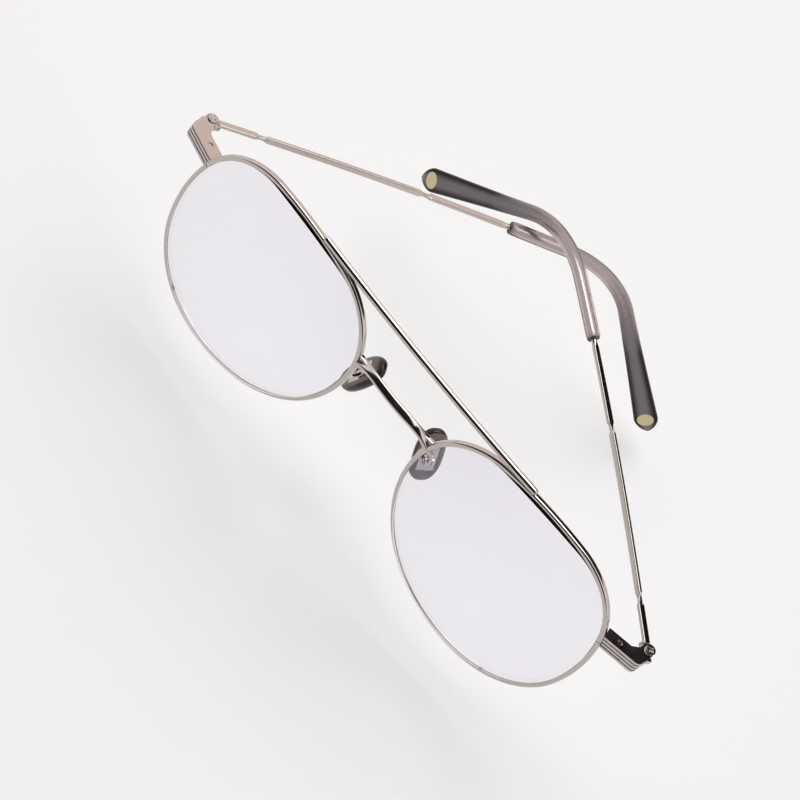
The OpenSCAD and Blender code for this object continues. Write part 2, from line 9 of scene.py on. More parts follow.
import bmesh
import bpy
import numpy as np
from bpy.props import FloatProperty, FloatVectorProperty, PointerProperty
from bpy.types import Operator, Panel, PropertyGroup
from mathutils import Matrix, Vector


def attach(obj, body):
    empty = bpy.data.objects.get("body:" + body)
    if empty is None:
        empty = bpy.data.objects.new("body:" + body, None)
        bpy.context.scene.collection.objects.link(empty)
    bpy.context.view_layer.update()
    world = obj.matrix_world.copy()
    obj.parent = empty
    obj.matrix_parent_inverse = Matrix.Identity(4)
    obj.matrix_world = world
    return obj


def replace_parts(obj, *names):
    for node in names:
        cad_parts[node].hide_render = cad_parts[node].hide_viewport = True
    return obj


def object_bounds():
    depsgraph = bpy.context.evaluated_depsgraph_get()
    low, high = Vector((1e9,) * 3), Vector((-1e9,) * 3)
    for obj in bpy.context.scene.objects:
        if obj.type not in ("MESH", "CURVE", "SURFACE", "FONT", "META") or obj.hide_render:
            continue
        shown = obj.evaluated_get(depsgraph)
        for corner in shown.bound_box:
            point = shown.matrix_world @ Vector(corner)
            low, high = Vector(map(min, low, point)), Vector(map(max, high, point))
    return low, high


bl_info = {
    "name": "Wire Eyeglasses",
    "version": (1, 0, 0),
    "blender": (4, 5, 0),
    "location": "3D View > Sidebar > Eyeglasses",
    "description": "Builds round wire eyeglasses with a brow bar piece by piece",
    "category": "Add Mesh",
}

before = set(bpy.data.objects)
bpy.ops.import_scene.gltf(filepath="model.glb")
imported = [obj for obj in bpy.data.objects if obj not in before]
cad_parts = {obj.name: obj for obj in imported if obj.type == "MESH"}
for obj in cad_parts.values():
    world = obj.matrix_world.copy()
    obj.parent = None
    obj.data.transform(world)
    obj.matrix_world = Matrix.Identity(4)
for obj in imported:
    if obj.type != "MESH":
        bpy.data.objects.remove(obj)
CAD_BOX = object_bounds()
MM = 0.001


def length(name, text, default):
    """A length property, whose default is given in millimetres."""
    return FloatProperty(name=name, description=text, default=default * MM, unit="LENGTH", precision=5)


def angle(name, text, default):
    """An angle property, whose default is given in degrees."""
    return FloatProperty(name=name, description=text, default=math.radians(default), subtype="ANGLE")


def linear(code):
    """The linear red, green, blue and alpha of an sRGB hex colour."""
    parts = np.array([int(code[i : i + 2], 16) for i in (1, 3, 5)]) / 255
    low, high = parts / 12.92, ((parts + 0.055) / 1.055) ** 2.4
    return (*np.where(parts <= 0.04045, low, high).tolist(), 1.0)


def colour(name, text, code):
    """A colour property, whose default is an sRGB hex value."""
    return FloatVectorProperty(
        name=name, description=text, default=linear(code), size=4, min=0, max=1, subtype="COLOR"
    )


class LensSizes(PropertyGroup):
    """Sizes of the lenses and of the rims round them."""

    lens_w: length("Lens width", "Width of each lens shape", 51)
    outer_corner_r: length("Outer corner radius", "Upper outer corner of the pattern", 17.2)
    brow_r: length("Brow radius", "Flattened brow line of the pattern", 100)
    inner_corner_r: length("Inner corner radius", "Upper inner corner of the pattern", 16)
    outer_side_r: length("Outer side radius", "Outer side below the end piece", 36.9)
    lens_curve_r: length("Lens curve radius", "Curved front surface of a lens", 131)
    lens_t: length("Lens thickness", "Thickness of a lens", 1.8)
    rim_t: length("Rim thickness", "Thickness of the rim wire seen from the front", 1)
    rim_d: length("Rim depth", "Depth of the rim wire, front to back", 1.5)
    groove_d: length("Groove depth", "Depth of the groove that holds the lens", 0.35)
    rim_gap: length("Rim gap", "Distance between the rims at the nose", 21)
    rim_cut: length("Saw cut", "Width of the cut that lets a rim open", 0.12)
    wrap: angle("Wrap", "Angle by which each rim follows the face", 5.1)


class FrontSizes(PropertyGroup):
    """Sizes of the brow bar and the bridge, and the place of the hinges."""

    bar_d: length("Bar diameter", "Diameter of the brow bar", 1.5)
    bar_half: length("Bar half length", "From the middle to each end of the brow bar", 31.5)
    bar_bow: length("Bar bow", "How far the middle of the brow bar bows forward", 0.8)
    bar_forward: length("Bar forward", "How far the brow bar is set in front of the rims", 0.6)
    bridge_w: length("Bridge width", "Width of the bridge, front to back", 1.6)
    bridge_t: length("Bridge thickness", "Thickness of the bridge", 1.1)
    bridge_z: length("Bridge height", "Height of the bridge ends", 9.6)
    bridge_rise: length("Bridge rise", "How far the bridge rises above its ends", 3.1)
    bridge_bow: length("Bridge bow", "How far the middle of the bridge stands forward", 1.5)
    end_reach: length("End reach", "From the rim's outer side to the hinge axis", 6.4)
    hinge_back: length("Hinge back", "From the rim plane back to the hinge axis", 6.8)
    hinge_z: length("Hinge height", "Height of the hinge above the lens centres", 9.1)
    hinge_lean: angle("Hinge lean", "Lean of both hinge axes to the back", 3.8)
    left_cant: angle("Left cant", "Outward lean of the left hinge axis", 8.2)
    right_cant: angle("Right cant", "Outward lean of the right hinge axis", 1.9)
    left_fold: angle("Left fold", "How far the left temple is folded", 57.5)
    right_fold: angle("Right fold", "How far the right temple is folded", 47.6)


class TempleSizes(PropertyGroup):
    """Sizes of the temples and their plastic tips."""

    temple_w: length("Strip width", "Width of the flat strip that a bar is made of", 1.5)
    temple_t: length("Strip thickness", "Thickness of that strip", 0.8)
    bar_lift: length("Bar lift", "Height of the bar above the middle of its tongue", 0.8)
    web_l: length("Web length", "Length of the step between tongue and bar", 0.5)
    bar_from: length("Bar start", "From the hinge axis to the start of the bar", 1.75)
    tongue_t: length("Tongue thickness", "Thickness of the tongue between the lugs", 1.2)
    tongue_d: length("Tongue diameter", "Diameter of the round end of the tongue", 2.7)
    tail_l: length("Tail length", "Length of the tongue's stop behind the axis", 1.95)
    screw_d: length("Screw diameter", "Diameter of the hinge screws", 1.2)
    notch_1: length("First notch", "From the hinge axis to the first crimp", 11.2)
    notch_2: length("Second notch", "From the hinge axis to the second crimp", 48.4)
    notch_l: length("Crimp length", "Length of a crimp", 2.6)
    notch_flat: length("Neck length", "Length of the neck in a crimp", 0.8)
    notch_r: length("Neck half size", "Half width and half height of the neck", 0.45)
    core_d: length("Core diameter", "Diameter of the wire inside the tip", 1.2)
    tip_from: length("Tip start", "From the hinge axis to the mouth of the tip", 68.2)
    ear_bend: length("Ear bend", "From the hinge axis to the bend over the ear", 94)
    ear_drop: length("Ear drop", "Length of the tip beyond the bend", 48.8)
    ear_r: length("Ear radius", "Radius of the bend", 25.3)
    temple_bow: length("Temple bow", "How far the temple bows outward", 1.9)
    tip_in: length("Tip curve", "How far the end of the tip curves in", 1.4)
    paddle_w: length("Paddle width", "Width of the paddle at the end of a tip", 5.2)
    inlay_r: length("Inlay radius", "Radius of the round inlay", 1.8)
    inlay_back: length("Inlay place", "From the end of the tip to the inlay", 4.2)
    core_back: length("Core end", "From the end of the tip to the wire's end", 11)
    ear_angle: angle("Ear angle", "Angle of the bend", 51.5)


class PadSizes(PropertyGroup):
    """Sizes and place of the nose pads."""

    pad_x: length("Pad distance", "From the middle plane to a pad's centre", 10.2)
    pad_back: length("Pad set-back", "From the rim plane back to the pads", 7)
    pad_l: length("Pad length", "Length of a pad", 12.9)
    pad_w: length("Pad width", "Width of a pad", 6.6)
    pad_t: length("Pad thickness", "Thickness of a pad", 2.2)
    pad_lean: angle("Pad lean", "Angle by which the tops of the pads lean together", 19.3)
    pad_splay: angle("Pad splay", "Angle by which the pads open to the face", 40.5)


class FinishColours(PropertyGroup):
    """Colours of the finishes."""

    metal: colour("Metal", "Polished nickel-silver wire", "#BFB8B3")
    screw: colour("Screw", "Machined steel", "#B9B6B3")
    # A lighter copy of the metal: painted light, so that the wire shows brighter inside the tips
    core: colour("Core", "Satin wire inside the tips", "#E6E0E2")
    lens: colour("Lens", "Clear lens body", "#F3F2F7")
    coating: colour("Coating", "Residual reflection of the lens coating", "#B9B3F2")
    tip: colour("Tip", "Smoky acetate at the paddle", "#170F1B")
    tip_clear: colour("Tip mouth", "Smoky acetate at the mouth", "#CCC2C2")
    pad: colour("Pad", "Smoky silicone", "#8A847B")
    inlay: colour("Inlay", "Pale gold", "#C8B994")


class StageSettings(PropertyGroup):
    """The camera and the floor."""

    focal: FloatProperty(name="Focal length", description="Focal length of the camera", default=203.436)
    floor: colour("Floor", "Plain pale floor", "#E1E3E5")


def sizes():
    """All sizes of the object, in one place to read them from."""
    scene = bpy.context.scene
    return scene.glasses_lens, scene.glasses_front, scene.glasses_temple, scene.glasses_pad


def add(tree, kind, settings=None, **links):
    """A node of one kind with its settings, and its named inputs linked to other nodes' outputs."""
    node = tree.nodes.new(kind)
    for name, value in (settings or {}).items():
        if name in node.inputs:
            node.inputs[name].default_value = value
        else:
            setattr(node, name, value)
    for name, source in links.items():
        tree.links.new(source, node.inputs[name.replace("_", " ")])
    return node


def blend(tree, share, first, second):
    """A mix of two colours by a share, where each colour is a value or another node's output."""
    node = add(tree, "ShaderNodeMix", {"data_type": "RGBA"})
    tree.links.new(share, node.inputs[0])
    for socket, value in ((node.inputs[6], first), (node.inputs[7], second)):
        if isinstance(value, bpy.types.NodeSocket):
            tree.links.new(value, socket)
        else:
            socket.default_value = value
    return node.outputs[2]


def between(tree, value, low, high, to_low, to_high):
    """A value's range, mapped to another range."""
    settings = {"From Min": low, "From Max": high, "To Min": to_low, "To Max": to_high}
    return add(tree, "ShaderNodeMapRange", settings, Value=value).outputs["Result"]


def noise(tree, scale, detail=2.0):
    """Noise in the piece's own coordinates. Its grains are about 1 / scale metres wide."""
    place = add(tree, "ShaderNodeTexCoord")
    grains = {"Scale": scale, "Detail": detail}
    return add(tree, "ShaderNodeTexNoise", grains, Vector=place.outputs["Object"]).outputs["Fac"]


def marks(tree, height, strength, depth=0.02 * MM):
    """Surface normals roughened by a height."""
    bump = {"Strength": strength, "Distance": depth}
    return add(tree, "ShaderNodeBump", bump, Height=height).outputs["Normal"]


def new_material(name):
    """An empty node material."""
    material = bpy.data.materials.new(name)
    material.use_nodes = True
    material.node_tree.nodes.clear()
    return material, material.node_tree


def finished(tree, settings, density=None, **links):
    """Joins one shader to the material's output. With a density, a volume of that colour absorbs light."""
    shader = add(tree, "ShaderNodeBsdfPrincipled", settings, **links)
    output = add(tree, "ShaderNodeOutputMaterial", Surface=shader.outputs["BSDF"])
    if density is not None:
        colour_in, amount = density
        body = add(tree, "ShaderNodeVolumeAbsorption", {"Color": colour_in, "Density": amount})
        tree.links.new(body.outputs["Volume"], output.inputs["Volume"])
    return shader


def polished_metal(finish):
    """Polished nickel silver under a thin bright plating: near mirror, with a fine drawn grain."""
    material, tree = new_material("polished_nickel_silver")
    # Grain of about 0.08 mm, coarser than real so that it shows
    fine = noise(tree, 12000.0, 3.0)
    settings = {"Base Color": finish.metal, "Metallic": 1.0}
    # Handling has left patches of about 5 mm a little duller
    rough = between(tree, noise(tree, 220.0), 0.3, 0.7, 0.05, 0.12)
    finished(tree, settings, Roughness=rough, Normal=marks(tree, fine, 0.04))
    return material


def satin_core(finish):
    """The wire inside a tip, left satin by the plastic that is moulded on it. Its colour is a lighter copy
    of the bar's metal, painted light that lets it show brighter through the plastic.
    """
    material, tree = new_material("matt_core_wire")
    finished(tree, {"Base Color": finish.core, "Metallic": 1.0, "Roughness": 0.2})
    return material


def turned_steel(finish):
    """Turned steel screws: bright, with a fine grain that spreads the highlight."""
    material, tree = new_material("turned_steel")
    settings = {"Base Color": finish.screw, "Metallic": 1.0, "Roughness": 0.12}
    # Turning marks of about 0.05 mm
    finished(tree, settings, Normal=marks(tree, noise(tree, 20000.0), 0.06))
    return material


def coated_lens(finish):
    """Clear optical plastic with an anti-reflection coating: a weak violet reflection, stronger at a slant.
    Its shadow is that of a clear pane that lets 93 to 95 per cent of the light through."""
    material, tree = new_material("coated_optical_plastic")
    body = add(
        tree,
        "ShaderNodeBsdfPrincipled",
        {
            "Base Color": finish.lens,
            "Roughness": 0.0,
            "IOR": 1.5,
            "Transmission Weight": 1.0,
            "Specular IOR Level": 0.35,
            "Specular Tint": finish.coating,
        },
    )
    clear = add(tree, "ShaderNodeBsdfTransparent", {"Color": (0.93, 0.93, 0.95, 1.0)})
    rays = add(tree, "ShaderNodeLightPath")
    mixed = add(tree, "ShaderNodeMixShader", Fac=rays.outputs["Is Shadow Ray"])
    tree.links.new(body.outputs["BSDF"], mixed.inputs[1])
    tree.links.new(clear.outputs["BSDF"], mixed.inputs[2])
    add(tree, "ShaderNodeOutputMaterial", Surface=mixed.outputs["Shader"])
    return material


def smoky_acetate(finish):
    """Tumbled smoky acetate, whose tint follows the tip's share of darkness: clear and see-through towards
    the mouth, and dark and opaque at the edges of the paddle. The darker edges of the paddle are painted
    shade."""
    material, tree = new_material("smoky_acetate")
    share = add(tree, "ShaderNodeAttribute", {"attribute_name": "share"}).outputs["Fac"]
    shader = finished(
        tree,
        {"IOR": 1.45, "Specular IOR Level": 0.15},
        density=(finish.tip_clear, 200.0),
        # Faint cloudiness of the sheet, in patches of about 6 mm
        Roughness=between(tree, noise(tree, 160.0), 0.3, 0.7, 0.03, 0.08),
        Base_Color=blend(tree, share, finish.tip_clear, finish.tip),
    )
    # The darker the plastic, the less light gets through it, and none from a share of 0.7
    tree.links.new(between(tree, share, 0.0, 0.7, 1.0, 0.0), shader.inputs["Transmission Weight"])
    return material


def smoky_silicone(finish):
    """Moulded smoky silicone: see-through, with a soft satin surface, and darker where it is thicker."""
    material, tree = new_material("smoky_silicone")
    settings = {"Base Color": finish.pad, "IOR": 1.41, "Transmission Weight": 0.95, "Roughness": 0.1}
    # Mould grain of about 0.15 mm
    grain = marks(tree, noise(tree, 6500.0), 0.08, 0.03 * MM)
    finished(tree, settings, density=(finish.pad, 380.0), Normal=grain)
    return material


def pale_gold(finish):
    """A stamped disc with a pale gold plating, finely brushed."""
    material, tree = new_material("pale_gold_plating")
    settings = {"Base Color": finish.inlay, "Metallic": 1.0, "Roughness": 0.25}
    # Brushed grain of about 0.1 mm
    finished(tree, settings, Normal=marks(tree, noise(tree, 10000.0), 0.1))
    return material


MAKERS = {
    "metal": polished_metal,
    "screw": turned_steel,
    "core": satin_core,
    "lens": coated_lens,
    "tip": smoky_acetate,
    "pad": smoky_silicone,
    "inlay": pale_gold,
}
made = {}


def finish_of(slot):
    """The one material of a slot, made when it is first asked for."""
    if slot not in made:
        made[slot] = MAKERS[slot](bpy.context.scene.glasses_finish)
    return made[slot]


def linked(name, data):
    """A new object of the scene with some data."""
    thing = bpy.data.objects.new(name, data)
    bpy.context.scene.collection.objects.link(thing)
    return thing


def turn(axis, a):
    """The rotation matrix about an axis, 3 by 3, for an angle in radians."""
    return np.array(Matrix.Rotation(a, 3, axis))


def points_of(*columns):
    """Points from their coordinates, or rows from their columns, each an array or one number."""
    return np.stack(np.broadcast_arrays(*columns), axis=-1)


def on_circle(a):
    """Points of the unit circle at angles."""
    return points_of(np.cos(a), np.sin(a))


def full_turn(count):
    """Points spread evenly round the unit circle."""
    return on_circle(np.linspace(0, 2 * np.pi, count, endpoint=False))


def grid_faces(rows, columns, open_rows=True):
    """Quads of a grid whose columns close into rings, seen from outside when the rings run anticlockwise
    about the path, in an array of four corners each."""
    i, j = np.meshgrid(np.arange(rows - 1 if open_rows else rows), np.arange(columns), indexing="ij")
    k, n = (j + 1) % columns, (i + 1) % rows
    quads = points_of(i * columns + j, i * columns + k, n * columns + k, n * columns + j)
    return quads.reshape(-1, 4)


def solid(rings):
    """A closed solid through rings of points, an array of ring, point and coordinate: quads between
    neighbouring rings and a fan of triangles about the middle of each end ring."""
    rows, columns, _ = rings.shape
    points = np.concatenate([rings.reshape(-1, 3), rings[[0, -1]].mean(axis=1)])
    j = np.arange(columns)
    k = (j + 1) % columns
    start = points_of(k, j, rows * columns)
    last = (rows - 1) * columns
    end = points_of(last + j, last + k, rows * columns + 1)
    return points, [*grid_faces(rows, columns).tolist(), *start.tolist(), *end.tolist()]


def join(*parts):
    """One list of points and faces from several."""
    points, faces, count = [], [], 0
    for p, f in parts:
        points.append(p)
        faces.extend([[v + count for v in face] for face in f])
        count += len(p)
    return np.concatenate(points), faces


def rounded(half_x, half_z, corner, count=32):
    """Rounded rectangles of half sizes and corner radii, one ring each: every quarter runs round its
    corner's centre by cosine and sine. Two coordinates a point."""
    half_x, half_z, corner = (v[:, None] for v in np.broadcast_arrays(half_x, half_z, corner))
    quarter = np.repeat(np.arange(4), count // 4)
    a = np.pi / 2 * (quarter + np.tile(np.linspace(0, 1, count // 4), 4))
    side_x = np.where((quarter == 0) | (quarter == 3), 1, -1)
    side_z = np.where(quarter < 2, 1, -1)
    x = side_x * (half_x - corner) + corner * np.cos(a)
    return points_of(x, side_z * (half_z - corner) + corner * np.sin(a))


def oval(half_x, half_z, power, count=48):
    """Ovals of half sizes, one ring each, by the superellipse: cosine and sine to the power 2 / power,
    with their signs kept. Two coordinates a point."""
    x, z = (np.sign(wave) * np.abs(wave) ** (2 / power) for wave in full_turn(count).T)
    return points_of(half_x[:, None] * x, half_z[:, None] * z)


def carried(path, direction, up, profile):
    """A solid, by a profile carried along a path: each ring is the path's point plus the profile's two
    coordinates along the sideways vector, direction cross up, and the vector square to both."""
    side = np.cross(direction, up)
    side /= np.linalg.norm(side, axis=-1, keepdims=True)
    upward = np.cross(side, direction)
    return solid(path[:, None] + profile[..., :1] * side[:, None] + profile[..., 1:] * upward[:, None])


def make(name, body, slot, points, faces, side, smooth_angle=40, share=None):
    """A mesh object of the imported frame: the points are moved from the rim plane to the frame's origin
    between the pads, mirrored for the right side, shaded smooth up to an angle, and ride on a body. A
    share, one value a point, is kept as the attribute "share" for the material."""
    points = np.array(points)
    points[:, 1] -= bpy.context.scene.glasses_pad.pad_back
    if side < 0:
        points[:, 0] *= -1
        faces = [face[::-1] for face in faces]
    mesh = bpy.data.meshes.new(name)
    mesh.from_pydata(points.tolist(), [], faces)
    mesh.validate()
    if share is not None:
        mesh.attributes.new("share", "FLOAT", "POINT").data.foreach_set("value", share)
    work = bmesh.new()
    work.from_mesh(mesh)
    if work.calc_volume(signed=True) < 0:
        bmesh.ops.reverse_faces(work, faces=work.faces)
    work.to_mesh(mesh)
    work.free()
    mesh.shade_smooth()
    mesh.set_sharp_from_angle(angle=math.radians(smooth_angle))
    mesh.materials.append(finish_of(slot))
    piece = linked(name, mesh)
    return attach(piece, body)


SIDES = ((1, "left"), (-1, "right"))
# Angles of the normals at which the arcs of the lens outline start: outer corner, brow, inner corner, nose
# side, bottom and outer side
ARC_FROM = np.radians([12.1, 83, 95, 176, 277, 344])


def arcs():
    """Centres and radii of the six arcs of the lens outline, scaled to the lens width: each arc starts
    where its normal has the angle in ARC_FROM, and the two lower radii follow from the outline closing."""
    lens = bpy.context.scene.glasses_lens
    way = on_circle(ARC_FROM)
    corner, brow, inner, outer = lens.outer_corner_r, lens.brow_r, lens.inner_corner_r, lens.outer_side_r
    total = -(
        (corner - brow) * way[1]
        + (brow - inner) * way[2]
        + inner * way[3]
        - outer * way[5]
        + (outer - corner) * way[0]
    )
    nose, low = np.linalg.solve(points_of(way[4] - way[3], way[5] - way[4]), total)
    radii = np.array([corner, brow, inner, nose, low, outer])
    steps = (radii[:-1] - radii[1:])[:, None] * way[1:]
    centres = np.concatenate([[[0, 0]], np.cumsum(steps, axis=0)])
    right, left = centres[5, 0] + radii[5], centres[3, 0] - radii[3]
    top, bottom = centres[1, 1] + radii[1], centres[3, 1] - radii[3]
    scale = lens.lens_w / (right - left)
    return scale * (centres - np.array([right + left, top + bottom]) / 2), scale * radii


def outline(a, out):
    """Points of the lens outline for normals of angles a, moved outward: centre plus radius plus out, times
    the cosine and sine of the angle."""
    centres, radii = arcs()
    turned = (a - ARC_FROM[0]) % (2 * np.pi) + ARC_FROM[0]
    i = np.clip(np.searchsorted(ARC_FROM, turned, side="right") - 1, 0, 5)
    return centres[i] + (radii[i] + out)[:, None] * on_circle(a)


def outline_angles(step):
    """Angles of normals round the outline, arc by arc, whose points are about a step of length apart."""
    _, radii = arcs()
    spans = np.diff(np.append(ARC_FROM, ARC_FROM[0] + 2 * np.pi))
    return np.concatenate(
        [
            start + span * np.arange(n) / n
            for start, span, n in zip(ARC_FROM, spans, np.ceil(radii * spans / step).astype(int))
        ]
    )


def lens_height():
    """Height of the lens outline."""
    centres, radii = arcs()
    return centres[1, 1] + radii[1] - centres[3, 1] + radii[3]


def rim_plane(flat, depth):
    """Points of a rim's own plane, moved into the rim frame: turned by the wrap about Z, and set to the
    eye's centre. Flat holds outward and upward, depth is to the front."""
    lens = bpy.context.scene.glasses_lens
    c, s = math.cos(lens.wrap), math.sin(lens.wrap)
    eye = lens.rim_gap / 2 + lens.lens_w / 2 * c
    out, up = flat[..., 0], flat[..., 1]
    return points_of(eye + c * out + s * depth, s * out - c * depth, up)


class GLASSES_OT_rims(Operator):
    """Build both rims"""

    bl_idname = "glasses.rims"
    bl_label = "Rims"

    def execute(self, context):
        lens, front, _, _ = sizes()
        # The wire's profile is round outside and nearly sharp inside, with a groove for the lens
        t, d = lens.rim_t / 2, lens.rim_d / 2
        outer_r, inner_r, groove_half = 0.48 * MM, 0.1 * MM, 0.35 * MM
        a = np.linspace(0, np.pi / 2, 10)
        outer = np.array([t, d]) - outer_r + outer_r * on_circle(a)
        inner = [inner_r - t, d - inner_r] + inner_r * points_of(-np.sin(a), np.cos(a))
        groove = [[-t, groove_half], [lens.groove_d - t, groove_half]]
        upper = np.concatenate([outer, inner, groove])
        profile = np.concatenate([upper, (upper * [1, -1])[::-1]])
        # The saw cut lies a little below the hinge, where the outline passes its height on the outer side
        below_hinge, reach = 0.15 * MM, 2 * MM
        around = outline_angles(0.4 * MM)
        low = outline(around, 0)
        cut = front.hinge_z - below_hinge - lens.rim_cut / 2
        near = np.flatnonzero((low[:, 0] > 0) & (np.abs(low[:, 1] - cut) < reach))
        order = near[np.argsort(low[near, 1])]
        middle = np.interp(cut, low[order, 1], np.unwrap(around[order]))
        half = lens.rim_cut / 2 / (lens.lens_w / 2)
        shifted = np.sort((around - middle) % (2 * np.pi))
        shifted = shifted[(shifted > 1.2 * half) & (shifted < 2 * np.pi - 1.2 * half)]
        path = middle + np.concatenate([[half], shifted, [2 * np.pi - half]])
        flat = np.stack([outline(path, out) for out in profile[:, 0]], axis=1)
        rings = rim_plane(flat, np.broadcast_to(profile[:, 1], flat.shape[:2]))
        points, faces = solid(rings[:, ::-1])

        for side, name in SIDES:
            rim = make(f"{name}_rim_wire", "front_frame", "metal", points, faces, side)
            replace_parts(rim, f"{name}_rim")
        return {"FINISHED"}


class GLASSES_OT_lenses(Operator):
    """Build both lenses"""

    bl_idname = "glasses.lenses"
    bl_label = "Lenses"

    def execute(self, context):
        lens = sizes()[0]
        slack, ridge_half = 0.05 * MM, 0.3 * MM
        around = outline_angles(0.8 * MM)
        edge = outline(around, -lens.rim_t / 2 - slack)
        ridge = outline(around, lens.groove_d - slack - lens.rim_t / 2)
        radius = lens.lens_curve_r

        def sag(r, curve):
            """How far a sphere of one radius falls back at a distance from its pole."""
            return curve - np.sqrt(curve**2 - r**2)

        reach = np.linalg.norm(edge, axis=-1)
        rise = (sag(reach.max(), radius) + sag(reach.min(), radius) + lens.lens_t) / 2
        # Rings lie closer together towards the edge
        out = np.sin(np.linspace(0.02, 1, 24) * np.pi / 2)
        flat = out[:, None, None] * edge
        r = np.linalg.norm(flat, axis=-1)
        face = rise - sag(r, radius)
        back = rise - lens.lens_t - sag(r, radius - lens.lens_t)
        loops = np.concatenate([flat, [edge, ridge, ridge, edge], flat[::-1]])
        level = np.outer([1, 1, -1, -1], np.full(len(around), ridge_half))
        depth = np.concatenate([face, level, back[::-1]])
        points, faces = solid(rim_plane(loops, depth)[:, ::-1])

        for side, name in SIDES:
            glass = make(f"{name}_coated_lens", "front_frame", "lens", points, faces, side, 30)
            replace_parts(glass, f"{name}_lens")
        return {"FINISHED"}


class GLASSES_OT_brow_bar(Operator):
    """Build the brow bar"""

    bl_idname = "glasses.brow_bar"
    bl_label = "Brow Bar"

    def execute(self, context):
        lens, front, _, _ = sizes()
        radius = (front.bar_half**2 + front.bar_bow**2) / (2 * front.bar_bow)
        reach = math.asin(front.bar_half / radius)
        r = front.bar_d / 2
        eye = lens.rim_gap / 2 + lens.lens_w / 2 * math.cos(lens.wrap)
        y = (front.bar_half - eye) * math.tan(lens.wrap) - front.bar_forward - front.bar_bow
        solder = 0.02 * MM
        z = lens_height() / 2 + lens.rim_t / 2 + r + solder
        # Each end closes as a half ball
        cap = np.linspace(0.05, 1, 8) * np.pi / 2
        end = reach + r * np.cos(cap) / radius
        inner = np.linspace(-reach, reach, 81)[1:-1]
        a = np.concatenate([-end, inner, end[::-1]])
        thick = r * np.concatenate([np.sin(cap), np.ones(len(inner)), np.sin(cap[::-1])])
        path = points_of(radius * np.sin(a), y + radius * (1 - np.cos(a)), z)
        along = points_of(np.cos(a), np.sin(a), 0)
        ring = thick[:, None, None] * full_turn(32)
        bar = make("brow_bar_wire", "front_frame", "metal", *carried(path, along, [0, 0, 1], ring), 1)
        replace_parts(bar, "brow_bar")
        return {"FINISHED"}


def bezier(route, t):
    """Points of a cubic curve through four route points, by its Bernstein weights."""
    weights = points_of((1 - t) ** 3, 3 * t * (1 - t) ** 2, 3 * t**2 * (1 - t), t**3)
    return weights @ np.asarray(route)


def up_to_rim(path):
    """The first part of a path of the left side, up to the point that lies nearest to the rim's middle
    line when it is seen from the front."""
    around = outline_angles(0.1 * MM)
    middle = rim_plane(outline(around, 0), 0 * around)
    gaps = np.linalg.norm(path[:, None, [0, 2]] - middle[None][..., [0, 2]], axis=-1).min(axis=1)
    return path[: np.argmin(gaps) + 1]


def directions(path):
    """Unit directions along a path, from its neighbouring points."""
    along = np.gradient(path, axis=0)
    return along / np.linalg.norm(along, axis=-1, keepdims=True)


class GLASSES_OT_bridge(Operator):
    """Build the bridge with its forked ends"""

    bl_idname = "glasses.bridge"
    bl_label = "Bridge"

    def execute(self, context):
        lens, front, _, _ = sizes()
        into_rim = 0.9 * MM
        span = lens.rim_gap / 2 + into_rim
        end_y = -lens.lens_w / 2 * math.sin(lens.wrap)
        # The arch is fuller than its solid and leans forward, so its middle is set back to stay in the box
        set_back, wider, taper, thicker, corner = 0.19 * MM, 0.15 * MM, 0.25 * MM, 0.1 * MM, 0.5 * MM
        lean = 0.6

        def at(t):
            """Points of the arch's middle line, which ends at a t of -1 and 1."""
            t = np.asarray(t, float)
            bow = end_y - (front.bridge_bow - set_back) * (1 - t**2)
            rise = front.bridge_z + front.bridge_rise * (1 - np.abs(t) ** 5)
            return points_of(span * t, bow, rise)

        half = up_to_rim(at(np.linspace(0, 1, 120)))
        path = np.concatenate([half[:0:-1] * [-1, 1, 1], half])
        t = path[:, 0] / span
        width = front.bridge_w / 2 + wider - taper * np.abs(t) ** 3
        ring = rounded(width, front.bridge_t / 2 + thicker, corner)
        tilt = lean * (1 - t**6)
        up = points_of(0, -np.sin(tilt), np.cos(tilt))
        arch = carried(path, directions(path), up, ring)
        # A thin brace forks off upward on either side
        brace_w, brace_t, brace_z = 1.1 * MM, 0.5 * MM, 12.2 * MM
        route = [
            at(0.4) + [0, (front.bridge_w - brace_w) / 2, (front.bridge_t - brace_t) / 2],
            at(0.8) + [0, front.bridge_w / 2, front.bridge_t / 2],
            [lens.rim_gap / 2 - 0.8 * MM, end_y + 0.3 * MM, brace_z - 0.2 * MM],
            [lens.rim_gap / 2 + 2.2 * MM, end_y + 0.2 * MM, brace_z + 0.4 * MM],
        ]
        strip = up_to_rim(bezier(route, np.linspace(0, 1, 90)))
        ring = rounded(np.full(len(strip), brace_w / 2), brace_t / 2, 0.2 * MM, 16)
        points, faces = carried(strip, directions(strip), [0, 0, 1], ring)
        mirrored = points * [-1, 1, 1], [face[::-1] for face in faces]
        bridge = make("bridge_arch", "front_frame", "metal", *join(arch, (points, faces), mirrored), 1)
        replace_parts(bridge, "bridge")
        return {"FINISHED"}


def bevelled_copy(node, name, body, slot, width):
    """A copy of a CAD node with its loose triangles merged and its edges broken by a small bevel."""
    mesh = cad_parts[node].data.copy()
    mesh.name = name
    work = bmesh.new()
    work.from_mesh(mesh)
    bmesh.ops.remove_doubles(work, verts=work.verts, dist=1e-6)
    bmesh.ops.dissolve_limit(work, angle_limit=math.radians(1), verts=work.verts, edges=work.edges)
    work.to_mesh(mesh)
    work.free()
    mesh.materials.clear()
    mesh.materials.append(finish_of(slot))
    mesh.shade_smooth()
    piece = linked(name, mesh)
    bevel = piece.modifiers.new("edges", "BEVEL")
    bevel.width = width
    bevel.segments = 2
    bevel.limit_method = "ANGLE"
    bevel.angle_limit = math.radians(35)
    bevel.use_clamp_overlap = True
    flat = piece.modifiers.new("flat_faces", "WEIGHTED_NORMAL")
    flat.weight = 100
    flat.keep_sharp = True
    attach(piece, body)
    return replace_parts(piece, node)


